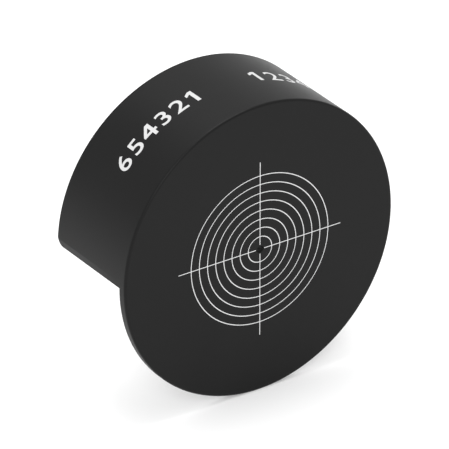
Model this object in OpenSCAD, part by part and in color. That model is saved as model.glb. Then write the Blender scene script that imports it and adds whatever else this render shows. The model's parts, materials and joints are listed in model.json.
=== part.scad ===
// Alignment cap for a round lens mount, millimetres.
// A thin target plate closes one end of a half-round skirt. The skirt hangs over the upper half of
// the lens mount's rim, and the plate seats against the mount's face with a pinhole on its axis.
// The optical axis is Y, with the target facing -Y. Z is up. The origin lies on the optical axis
// in the plate's back face, where the lens mount seats.

/* [Fit] */
// Outside diameter of the lens mount that the cap slips over
mount_d = 30.5; // [26:0.1:50]
// Clearance on the diameter between the lens mount and the skirt
slip_gap = 0.1; // [0.02:0.01:0.4]
// Depth of the skirt behind the plate
skirt_depth = 11.4; // [6:0.1:25]

/* [Body] */
// Wall thickness of the skirt
wall = 1.2; // [0.8:0.1:3]
// Thickness of the target plate
plate_t = 1; // [0.6:0.1:3]
// Height of the skirt's lower edges above the optical axis
skirt_edge_z = 0.2; // [-4:0.1:8]
// Radius of the skirt's two lower back corners, seen from the side
corner_r = 1.1; // [0.3:0.1:4]
// Radius of the rounded edge at the front
front_edge_r = 0.25; // [0.05:0.05:0.5]
// Chamfer on the outside of the skirt's back rim
rim_chamfer = 0.05; // [0.02:0.01:0.35]
// Chamfer that leads the lens mount into the skirt
lead_in = 0.3; // [0.05:0.05:0.4]

/* [Target] */
// Diameter of the pinhole on the optical axis
pinhole_d = 0.8; // [0.3:0.1:0.9]
// Diameter of the innermost ring, across its outer edge
first_ring_d = 3; // [2:0.5:5]
// Step in diameter from one ring to the next
ring_step_d = 2; // [1:0.1:2.6]
// Number of rings
ring_count = 8; // [1:1:9]
// Length of each cross line beyond the outermost ring
cross_overhang = 1.5; // [0:0.1:2]
// Diameter of the bare spot that the cross lines leave around the pinhole
cross_gap_d = 1; // [1:0.1:1.8]
// Width of the engraved lines
line_w = 0.1; // [0.05:0.01:0.3]
// Depth of the engraved lines
line_depth = 0.05; // [0.01:0.01:0.2]

/* [Hidden] */
$fn = 180;
bore_r = (mount_d + slip_gap) / 2;
outer_r = bore_r + wall;
last_ring_r = (first_ring_d + (ring_count - 1) * ring_step_d) / 2;
cross_reach = last_ring_r + cross_overhang;
// How far every cutting shape runs past the surface that it cuts
over = 1;
quarter_turn = 90;

// A square standing on its corner, which takes a 45 degree chamfer off the corner it is centred on
module chamfer_bit(leg) {
    rotate(quarter_turn / 2)
        square(leg * sqrt(2), center = true);
}

// What is left to cut between a corner at the lower right and the round inside it,
// drawn about the centre of the round
module round_bit(r) {
    difference() {
        translate([0, -r - over])
            square(r + over);
        circle(r);
    }
}

// Half of the turned section: radius to the right, height from the seat towards the front upwards
module cup_section() {
    difference() {
        translate([0, -skirt_depth])
            square([outer_r, skirt_depth + plate_t]);
        translate([-over, -skirt_depth - over])
            square([bore_r + over, skirt_depth + over]);
        translate([outer_r - front_edge_r, plate_t - front_edge_r])
            mirror([0, 1])
                round_bit(front_edge_r);
        translate([outer_r, -skirt_depth])
            chamfer_bit(rim_chamfer);
        translate([bore_r, -skirt_depth])
            chamfer_bit(lead_in);
    }
}

// Side view of what is milled away below the skirt, with Y to the right and Z upwards
module underside_section() {
    translate([0, -outer_r - over])
        square([skirt_depth + over, outer_r + over + skirt_edge_z]);
    translate([skirt_depth - corner_r, skirt_edge_z + corner_r])
        round_bit(corner_r);
}

module underside_cut() {
    rotate([quarter_turn, 0, quarter_turn])
        linear_extrude(2 * (outer_r + over), center = true)
            underside_section();
}

// Concentric rings and a cross that stops short of the pinhole
module target_lines() {
    for (i = [0 : ring_count - 1]) {
        ring_r = (first_ring_d + i * ring_step_d) / 2;
        difference() {
            circle(ring_r);
            circle(ring_r - line_w);
        }
    }
    for (quarter = [0 : 3])
        rotate(quarter * quarter_turn)
            translate([cross_gap_d / 2, -line_w / 2])
                square([cross_reach - cross_gap_d / 2, line_w]);
}

// The cap is turned and milled from one piece of black anodised aluminium
module alignment_cap() {
    color("#2f2f31")
        difference() {
            rotate([quarter_turn, 0, 0])
                difference() {
                    rotate_extrude()
                        cup_section();
                    translate([0, 0, plate_t - line_depth])
                        linear_extrude(line_depth + over)
                            target_lines();
                    translate([0, 0, -over])
                        cylinder(d = pinhole_d, h = plate_t + 2 * over);
                }
            underside_cut();
        }
}

alignment_cap();
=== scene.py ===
import json
from math import cos, hypot, pi, radians, sin, tau

import bmesh
import bpy
from mathutils import Matrix, Vector


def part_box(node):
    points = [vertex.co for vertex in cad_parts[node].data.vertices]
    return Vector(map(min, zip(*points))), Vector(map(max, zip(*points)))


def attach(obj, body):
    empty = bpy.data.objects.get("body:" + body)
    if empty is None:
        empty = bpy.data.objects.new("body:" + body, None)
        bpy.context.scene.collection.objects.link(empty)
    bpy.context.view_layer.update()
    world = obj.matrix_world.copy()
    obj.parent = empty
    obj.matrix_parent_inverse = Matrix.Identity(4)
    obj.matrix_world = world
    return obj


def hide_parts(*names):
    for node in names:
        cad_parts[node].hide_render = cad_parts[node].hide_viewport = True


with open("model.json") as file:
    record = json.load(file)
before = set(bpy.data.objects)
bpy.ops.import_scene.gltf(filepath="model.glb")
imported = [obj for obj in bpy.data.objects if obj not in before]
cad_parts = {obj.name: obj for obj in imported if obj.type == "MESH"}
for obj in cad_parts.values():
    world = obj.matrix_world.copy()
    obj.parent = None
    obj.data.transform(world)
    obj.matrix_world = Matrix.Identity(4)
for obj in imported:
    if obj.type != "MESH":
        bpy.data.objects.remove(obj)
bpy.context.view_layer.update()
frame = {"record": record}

# ---------------------------------------------------------------------------------------------
# Camera
# A long lens looks down on the target from the left, so the round plate keeps nearly the same
# scale from edge to edge. The view is centred a little left of the optical axis and above it.
# ---------------------------------------------------------------------------------------------
MM = 0.001
VIEW_AZIMUTH = radians(-34.37)
VIEW_ELEVATION = radians(28.65)
VIEW_DISTANCE = 0.65
SENSOR = 36.0
FRAME_WIDTH = 45.70 * MM
CENTRE_RIGHT = -3.05 * MM
CENTRE_UP = 2.12 * MM
NEAREST = 0.01
FARTHEST = 20.0

towards_camera = Vector((
    sin(VIEW_AZIMUTH) * cos(VIEW_ELEVATION),
    -cos(VIEW_AZIMUTH) * cos(VIEW_ELEVATION),
    sin(VIEW_ELEVATION),
))
right = Vector((cos(VIEW_AZIMUTH), sin(VIEW_AZIMUTH), 0))
up = towards_camera.cross(right)

camera_data = bpy.data.cameras.new("camera")
camera_data.sensor_width = SENSOR
camera_data.lens = SENSOR * VIEW_DISTANCE / FRAME_WIDTH
camera_data.clip_start = NEAREST
camera_data.clip_end = FARTHEST
camera = bpy.data.objects.new("camera", camera_data)
looks_at = right * CENTRE_RIGHT + up * CENTRE_UP
axes = Matrix((right, up, towards_camera)).transposed().to_4x4()
camera.matrix_world = Matrix.Translation(looks_at + towards_camera * VIEW_DISTANCE) @ axes
bpy.context.scene.collection.objects.link(camera)
bpy.context.scene.camera = camera

# ---------------------------------------------------------------------------------------------
# Floor and light
# A white sweep that glows a little, so that shadows stay pale, stands in a glowing white tent. One
# soft light hangs overhead, a weaker one high behind, and one stands in front on the left.
# ---------------------------------------------------------------------------------------------
FLOOR_SIZE = 3.0
FLOOR_WHITE = 0.82
FLOOR_GLOW = 0.15
FLOOR_ROUGHNESS = 0.9
TENT_GLOW = 0.88

bpy.context.scene.view_settings.view_transform = "Standard"

cap_low, cap_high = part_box("alignment_cap")

floor_mesh = bpy.data.meshes.new("floor")
floor_bm = bmesh.new()
bmesh.ops.create_grid(floor_bm, x_segments=1, y_segments=1, size=FLOOR_SIZE / 2)
bmesh.ops.translate(floor_bm, verts=floor_bm.verts, vec=(0, 0, cap_low[2]))
floor_bm.to_mesh(floor_mesh)
floor_bm.free()
floor = bpy.data.objects.new("floor", floor_mesh)
bpy.context.scene.collection.objects.link(floor)
floor_paint = bpy.data.materials.new("white_sweep")
floor_paint.use_nodes = True
floor_shader = floor_paint.node_tree.nodes["Principled BSDF"]
floor_shader.inputs["Base Color"].default_value = (FLOOR_WHITE, FLOOR_WHITE, FLOOR_WHITE, 1)
floor_shader.inputs["Roughness"].default_value = FLOOR_ROUGHNESS
floor_shader.inputs["Emission Color"].default_value = (1, 1, 1, 1)
floor_shader.inputs["Emission Strength"].default_value = FLOOR_GLOW
floor_mesh.materials.append(floor_paint)

tent = bpy.data.worlds.new("tent")
tent.use_nodes = True
tent_glow = tent.node_tree.nodes["Background"]
tent_glow.inputs["Color"].default_value = (1, 1, 1, 1)
tent_glow.inputs["Strength"].default_value = TENT_GLOW
bpy.context.scene.world = tent


def softbox(name, place, size, power):
    """A square soft light that faces the origin."""
    data = bpy.data.lights.new(name, "AREA")
    data.shape = "SQUARE"
    data.size = size
    data.energy = power
    light = bpy.data.objects.new(name, data)
    light.location = place
    light.rotation_euler = Vector(place).to_track_quat("Z", "Y").to_euler()
    bpy.context.scene.collection.objects.link(light)


softbox("overhead", place=(0.05, 0.10, 0.60), size=0.40, power=2.1)
softbox("behind", place=(0.0, 0.38, 0.48), size=0.30, power=0.12)
softbox("front", place=(-0.42, -0.50, 0.45), size=0.30, power=2.0)

# ---------------------------------------------------------------------------------------------
# Alignment cap
# One piece of aluminium: the plate and the skirt are turned as a cup, and the lower half of the
# cup's wall is milled away. It is bead blasted and anodised black, and the target's lines are cut
# into the front last. It hangs by the half-round skirt on the rim of a lens mount.
# ---------------------------------------------------------------------------------------------
seat = next(m for m in frame["record"]["mounts"] if m["name"] == "lens_mount_seat")

OUTER_R = cap_high[0]
BORE_R = seat["dims"]["r_mm"] * MM
FRONT_Y = cap_low[1]
RIM_Y = cap_high[1]
LEAD_IN = RIM_Y - seat["dims"]["length_mm"] * MM
RIM_CHAMFER = 0.05 * MM
FRONT_EDGE_R = 0.25 * MM
SKIRT_EDGE_Z = 0.2 * MM
CORNER_R = 1.1 * MM
PINHOLE_R = 0.4 * MM
RING_COUNT = 8
RING_PITCH = 1.0 * MM
FIRST_RING_R = 1.5 * MM
LINE_W = 0.1 * MM
LINE_DEPTH = 0.05 * MM
CROSS_GAP_R = 0.5 * MM
CROSS_REACH = FIRST_RING_R + (RING_COUNT - 1) * RING_PITCH + 1.5 * MM
# A narrow band beside each edge keeps the shading of the broad face next to it even
EDGE_BAND = 0.08 * MM
EDGE_BREAK = 0.06 * MM
TURN_STEPS = 360
FRONT_EDGE_STEPS = 6
CORNER_STEPS = 18
BREAK_STEPS = 2
# A milled edge that turns by more than this is broken
SHARP_TURN = radians(60)
# An edge that turns by less than this is shaded smooth
SMOOTH_TURN = radians(25)
NEAR = 1e-6
CUT_TOLERANCE = 1e-8

ring_radii = [FIRST_RING_R + i * RING_PITCH for i in range(RING_COUNT)]


def cup_section():
    """The turned cup's section as (radius, y) points, from the pinhole round to the pinhole."""
    front = [PINHOLE_R, CROSS_GAP_R]
    for r in ring_radii:
        front += [r - LINE_W, r]
    front += [CROSS_REACH, OUTER_R - FRONT_EDGE_R - EDGE_BAND, OUTER_R]
    points = [(r, FRONT_Y) for r in front]
    points += [
        (OUTER_R, FRONT_Y + FRONT_EDGE_R + EDGE_BAND),
        (OUTER_R, 0),
        (OUTER_R, RIM_Y - RIM_CHAMFER - EDGE_BAND),
        (OUTER_R, RIM_Y - RIM_CHAMFER),
        (OUTER_R - RIM_CHAMFER, RIM_Y),
        (BORE_R + LEAD_IN, RIM_Y),
        (BORE_R, RIM_Y - LEAD_IN),
        (BORE_R, RIM_Y - LEAD_IN - EDGE_BAND),
        (BORE_R, 0),
        (PINHOLE_R, 0),
    ]
    return points


def turned_cup():
    """Spins the section a full turn about the optical axis."""
    bm = bmesh.new()
    points = [bm.verts.new((r, y, 0)) for r, y in cup_section()]
    for start, end in zip(points, points[1:] + points[:1]):
        bm.edges.new((start, end))
    bmesh.ops.spin(
        bm, geom=bm.verts[:] + bm.edges[:], cent=(0, 0, 0), axis=(0, 1, 0),
        angle=tau, steps=TURN_STEPS, use_merge=True,
    )
    bmesh.ops.recalc_face_normals(bm, faces=bm.faces)
    return bm


def round_front_edge(bm):
    def on_edge(v):
        return abs(hypot(v.co.x, v.co.z) - OUTER_R) < NEAR and abs(v.co.y - FRONT_Y) < NEAR
    rim = [e for e in bm.edges if all(on_edge(v) for v in e.verts)]
    bmesh.ops.bevel(
        bm, geom=rim, offset=FRONT_EDGE_R, segments=FRONT_EDGE_STEPS, profile=0.5, affect="EDGES",
        material=-1, clamp_overlap=False,
    )


def cut_faces(bm, faces, place, normal):
    """Scores the faces along a plane."""
    parts = set(faces)
    parts.update(e for f in faces for e in f.edges)
    parts.update(v for f in faces for v in f.verts)
    bmesh.ops.bisect_plane(
        bm, geom=list(parts), plane_co=place, plane_no=normal, dist=CUT_TOLERANCE,
    )


def mill_off(bm, place, normal):
    """Takes away the part of the skirt that lies beyond a plane, and leaves it open there."""
    def skirt():
        return [f for f in bm.faces if f.calc_center_median().y > NEAR]
    cut_faces(bm, skirt(), place, normal)
    beyond = [f for f in skirt() if (f.calc_center_median() - place).dot(normal) > 0]
    bmesh.ops.delete(bm, geom=beyond, context="FACES")


def open_edges(bm):
    return [e for e in bm.edges if e.is_boundary or e.is_wire]


def mill_underside(bm):
    """Leaves a little under half of the skirt, and rounds its two lower back corners."""
    mill_off(bm, Vector((0, 0, SKIRT_EDGE_Z)), Vector((0, 0, -1)))
    for side in (-1, 1):
        ends = [
            min(
                (v for e in open_edges(bm) for v in e.verts if v.co.x * side > 0),
                key=lambda v: (v.co - Vector((side * r, 0, SKIRT_EDGE_Z))).length,
            )
            for r in (BORE_R, OUTER_R)
        ]
        bm.edges.new(ends)
    bmesh.ops.edgenet_fill(bm, edges=open_edges(bm))
    centre = Vector((0, RIM_Y - CORNER_R, SKIRT_EDGE_Z + CORNER_R))
    for i in range(1, CORNER_STEPS):
        turn = pi / 2 * i / CORNER_STEPS
        normal = Vector((0, sin(turn), -cos(turn)))
        mill_off(bm, centre + normal * CORNER_R, normal)
        bmesh.ops.edgenet_fill(bm, edges=open_edges(bm))


def break_milled_edges(bm):
    """Takes the sharpness off the edges that the milling left along the skirt."""
    def on_milled_edge(e):
        behind_plate = any(v.co.y > EDGE_BAND for v in e.verts)
        low = all(v.co.z < SKIRT_EDGE_Z + CORNER_R + NEAR for v in e.verts)
        walls = [hypot(v.co.x, v.co.z) for v in e.verts]
        on_wall = any(all(abs(r - wall) < NEAR * 2 for r in walls) for wall in (BORE_R, OUTER_R))
        return behind_plate and low and on_wall and e.calc_face_angle(0) > SHARP_TURN
    sharp = [e for e in bm.edges if on_milled_edge(e)]
    bmesh.ops.bevel(
        bm, geom=sharp, offset=EDGE_BREAK, segments=BREAK_STEPS, profile=0.5, affect="EDGES",
        material=-1, clamp_overlap=True,
    )


def on_target_line(face):
    centre = face.calc_center_median()
    r = hypot(centre.x, centre.z)
    on_ring = any(ring - LINE_W < r < ring for ring in ring_radii)
    beside_cross = min(abs(centre.x), abs(centre.z))
    on_cross = CROSS_GAP_R < r < CROSS_REACH and beside_cross < LINE_W / 2
    return on_ring or on_cross


def engrave_target(bm):
    """Scores the cross between its gap and its ends, and sinks every line into the front."""
    def front(inner, outer):
        found = []
        for f in bm.faces:
            centre = f.calc_center_median()
            flat = all(abs(v.co.y - FRONT_Y) < NEAR for v in f.verts)
            if flat and inner < hypot(centre.x, centre.z) < outer:
                found.append(f)
        return found
    for normal in (Vector((1, 0, 0)), Vector((0, 0, 1))):
        for side in (-1, 1):
            cut_faces(bm, front(CROSS_GAP_R, CROSS_REACH), normal * side * LINE_W / 2, normal)
    lines = [f for f in front(CROSS_GAP_R, CROSS_REACH) if on_target_line(f)]
    edges = {e for f in lines for e in f.edges}
    sunk = bmesh.ops.extrude_face_region(bm, geom=lines + list(edges))["geom"]
    bmesh.ops.translate(
        bm, verts=[v for v in sunk if isinstance(v, bmesh.types.BMVert)], vec=(0, LINE_DEPTH, 0),
    )


def shade_by_angle(bm):
    for f in bm.faces:
        f.smooth = True
    for e in bm.edges:
        e.smooth = e.calc_face_angle(0) < SMOOTH_TURN


def new_piece(name, bm, material):
    mesh = bpy.data.meshes.new(name)
    bm.to_mesh(mesh)
    bm.free()
    mesh.materials.append(material)
    piece = bpy.data.objects.new(name, mesh)
    bpy.context.scene.collection.objects.link(piece)
    return piece


class Value:
    """A shader socket that Python's operators can add Math nodes to."""

    def __init__(self, shader, socket):
        self.shader = shader
        self.socket = socket

    def maths(self, operation, *values):
        return self.shader.node("ShaderNodeMath", {"operation": operation}, *values)

    def __add__(self, other):
        return self.maths("ADD", self, other)

    def __mul__(self, other):
        return self.maths("MULTIPLY", self, other)

    __radd__ = __add__
    __rmul__ = __mul__


class Finish:
    """A surface finish under construction: a material, its Principled shader and its nodes."""

    def __init__(self, name, **constants):
        self.material = bpy.data.materials.new(name)
        self.material.use_nodes = True
        self.tree = self.material.node_tree
        self.shader = self.tree.nodes["Principled BSDF"]
        for socket, value in constants.items():
            self.shader.inputs[socket.replace("_", " ")].default_value = value

    def set(self, socket, value):
        if isinstance(value, Value):
            self.tree.links.new(value.socket, socket)
        else:
            socket.default_value = value

    def node(self, kind, settings, *inputs, output=0, **named):
        made = self.tree.nodes.new(kind)
        for key, value in settings.items():
            setattr(made, key, value)
        for socket, value in zip(made.inputs, inputs):
            self.set(socket, value)
        for key, value in named.items():
            self.set(made.inputs[key.replace("_", " ")], value)
        return Value(self, made.outputs[output])

    def feed(self, socket, value):
        self.set(self.shader.inputs[socket], value)

    def place(self):
        return self.node("ShaderNodeTexCoord", {}, output="Object")


BLACK = 0.0043
BLACK_CLOUD = 0.0017
BLACK_GRAIN = 0.0012
MATTNESS = 0.37
MATTNESS_CLOUD = 0.08
GRAIN_HEIGHT = 0.02 * MM


def black_anodising():
    """Bead-blasted black anodising: a fine even grain, faintly cloudy."""
    finish = Finish("black_anodising", IOR=1.24)
    place = finish.place()
    grain = finish.node(
        "ShaderNodeTexNoise", {}, Vector=place, Scale=9000.0, Detail=3.0, Roughness=0.6,
    )
    cloud = finish.node("ShaderNodeTexNoise", {}, Vector=place, Scale=160.0, Detail=2.0)
    tone = BLACK + BLACK_CLOUD * cloud + BLACK_GRAIN * grain
    finish.feed("Base Color", finish.node("ShaderNodeCombineColor", {}, tone, tone, tone))
    finish.feed("Roughness", MATTNESS + MATTNESS_CLOUD * cloud)
    bump = finish.node(
        "ShaderNodeBump", {}, Strength=0.25, Distance=GRAIN_HEIGHT, Height=grain,
    )
    finish.feed("Normal", bump)
    return finish.material


cap_bm = turned_cup()
round_front_edge(cap_bm)
mill_underside(cap_bm)
break_milled_edges(cap_bm)
engrave_target(cap_bm)
bmesh.ops.recalc_face_normals(cap_bm, faces=cap_bm.faces)
target_bm = cap_bm.copy()
shade_by_angle(cap_bm)
cap = new_piece("cap_body", cap_bm, black_anodising())
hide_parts("alignment_cap")
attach(cap, "root")

# ---------------------------------------------------------------------------------------------
# Target lines
# The laser that cuts the rings and the cross leaves pale bare oxide in the bottom of each groove.
# The pale layer is a thin inlay on the groove floors that stays below the black front.
# ---------------------------------------------------------------------------------------------
INLAY_T = 0.03 * MM
LINE_BRIGHTNESS = 0.76
MOTTLE = 0.2


def laser_marking(name, brightness):
    """Laser-marked anodising: pale grey and dull, slightly mottled along the beam's path."""
    finish = Finish(name, IOR=1.4, Roughness=0.7)
    mottle = finish.node(
        "ShaderNodeTexNoise", {}, Vector=finish.place(), Scale=7000.0, Detail=2.0,
    )
    tone = brightness * (1 - MOTTLE / 2 + MOTTLE * mottle)
    finish.feed("Base Color", finish.node("ShaderNodeCombineColor", {}, tone, tone, tone))
    return finish.material


def on_groove_floor(face):
    return all(abs(v.co.y - FRONT_Y - LINE_DEPTH) < NEAR for v in face.verts)


off_target = [f for f in target_bm.faces if not on_groove_floor(f)]
bmesh.ops.delete(target_bm, geom=off_target, context="FACES")
layer = bmesh.ops.extrude_face_region(
    target_bm, geom=target_bm.faces[:] + target_bm.edges[:], use_keep_orig=True,
)["geom"]
bmesh.ops.translate(
    target_bm, verts=[v for v in layer if isinstance(v, bmesh.types.BMVert)],
    vec=(0, -INLAY_T, 0),
)
bmesh.ops.recalc_face_normals(target_bm, faces=target_bm.faces)
shade_by_angle(target_bm)
target = new_piece("target_lines", target_bm, laser_marking("pale_lines", LINE_BRIGHTNESS))
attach(target, "root")

# ---------------------------------------------------------------------------------------------
# Index numerals
# A plain scale, laser marked round the skirt halfway along the cap. It counts outwards from the
# top on both sides, with the numerals' feet towards the target.
# ---------------------------------------------------------------------------------------------
NUMERALS = "123456"
NUMERAL_HEIGHT = 2.1 * MM
NUMERAL_BOLDNESS = 0.008
NUMERAL_WIDENING = 1.15
# The numerals are the same laser marking as the target lines, painted darker to offset the
# stronger light on the skirt: painted shade
NUMERAL_SHADED_BRIGHTNESS = 0.55
NUMERAL_T = 0.02 * MM
# Places round the skirt, in degrees
FIRST_NUMERAL = 13.5
NUMERAL_STEP = 7.0
TOP = 90.0
SLICE_STEP = 1.0
SLICES_EACH_WAY = 4
NUMERAL_Y = (FRONT_Y + RIM_Y) / 2
# Points of a written numeral that lie closer than this, before it is sized, are one point
SAME_POINT = 1e-5
# The 1 with its flag and the 4 with its counter, drawn in millimetres about their centres
ONE = [[
    (0.18, -1.05), (0.18, 1.05), (-0.18, 1.05), (-0.62, 0.70), (-0.62, 0.28), (-0.18, 0.60),
    (-0.18, -1.05),
]]
FOUR = [
    [
        (0.15, -1.05), (0.50, -1.05), (0.50, -0.45), (0.75, -0.45), (0.75, -0.10), (0.50, -0.10),
        (0.50, 1.05), (0.10, 1.05), (-0.75, -0.15), (-0.75, -0.45), (0.15, -0.45),
    ],
    [(-0.31, -0.10), (0.15, -0.10), (0.15, 0.55)],
]


def drawn_numeral(outlines):
    """A numeral as a solid, from its outline and the outlines of the holes in it."""
    bm = bmesh.new()
    for outline in outlines:
        points = [bm.verts.new((x * MM, y * MM, -NUMERAL_T / 2)) for x, y in outline]
        for start, end in zip(points, points[1:] + points[:1]):
            bm.edges.new((start, end))
    bmesh.ops.triangle_fill(bm, edges=bm.edges, use_beauty=True, use_dissolve=False)
    flat = bm.faces[:] + bm.edges[:]
    top = bmesh.ops.extrude_face_region(bm, geom=flat, use_keep_orig=True)["geom"]
    bmesh.ops.translate(
        bm, verts=[v for v in top if isinstance(v, bmesh.types.BMVert)], vec=(0, 0, NUMERAL_T),
    )
    return bm


def written_numeral(character):
    """A numeral as a solid of the right height and thickness, centred on the origin."""
    text = bpy.data.curves.new("numeral", "FONT")
    text.body = character
    text.offset = NUMERAL_BOLDNESS
    text.extrude = 1.0
    writer = bpy.data.objects.new("numeral", text)
    bpy.context.scene.collection.objects.link(writer)
    evaluated = writer.evaluated_get(bpy.context.evaluated_depsgraph_get())
    bm = bmesh.new()
    bm.from_mesh(evaluated.to_mesh())
    bpy.data.objects.remove(writer)
    bpy.data.curves.remove(text)
    bmesh.ops.remove_doubles(bm, verts=bm.verts, dist=SAME_POINT)
    low = Vector([min(v.co[i] for v in bm.verts) for i in range(3)])
    high = Vector([max(v.co[i] for v in bm.verts) for i in range(3)])
    size = NUMERAL_HEIGHT / (high.y - low.y)
    bmesh.ops.translate(bm, verts=bm.verts, vec=-(low + high) / 2)
    bmesh.ops.scale(bm, verts=bm.verts, vec=(size, size, NUMERAL_T / (high.z - low.z)))
    return bm


def flat_numeral(character):
    if character == "1":
        return drawn_numeral(ONE)
    if character == "4":
        return drawn_numeral(FOUR)
    return written_numeral(character)


def wrap_on_skirt(bm, angle):
    """Slices a flat numeral in narrow strips and bends it round the skirt at an angle."""
    slice_w = OUTER_R * radians(SLICE_STEP)
    for i in range(-SLICES_EACH_WAY, SLICES_EACH_WAY + 1):
        bmesh.ops.bisect_plane(
            bm, geom=bm.verts[:] + bm.edges[:] + bm.faces[:], dist=CUT_TOLERANCE,
            plane_co=(i * slice_w, 0, 0), plane_no=(1, 0, 0),
        )
    for v in bm.verts:
        turn = angle - v.co.x / OUTER_R
        r = OUTER_R + v.co.z
        v.co = (r * cos(turn), NUMERAL_Y + v.co.y, r * sin(turn))


scale_bm = bmesh.new()
for side in (-1, 1):
    for i, character in enumerate(NUMERALS):
        numeral_bm = flat_numeral(character)
        bmesh.ops.scale(numeral_bm, verts=numeral_bm.verts, vec=(NUMERAL_WIDENING, 1, 1))
        wrap_on_skirt(numeral_bm, radians(TOP + side * (FIRST_NUMERAL + i * NUMERAL_STEP)))
        placed = bpy.data.meshes.new("numeral")
        numeral_bm.to_mesh(placed)
        numeral_bm.free()
        scale_bm.from_mesh(placed)
        bpy.data.meshes.remove(placed)
bmesh.ops.recalc_face_normals(scale_bm, faces=scale_bm.faces)
shade_by_angle(scale_bm)
numeral_finish = laser_marking("pale_numerals_shaded", NUMERAL_SHADED_BRIGHTNESS)
numerals = new_piece("index_numerals", scale_bm, numeral_finish)
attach(numerals, "root")
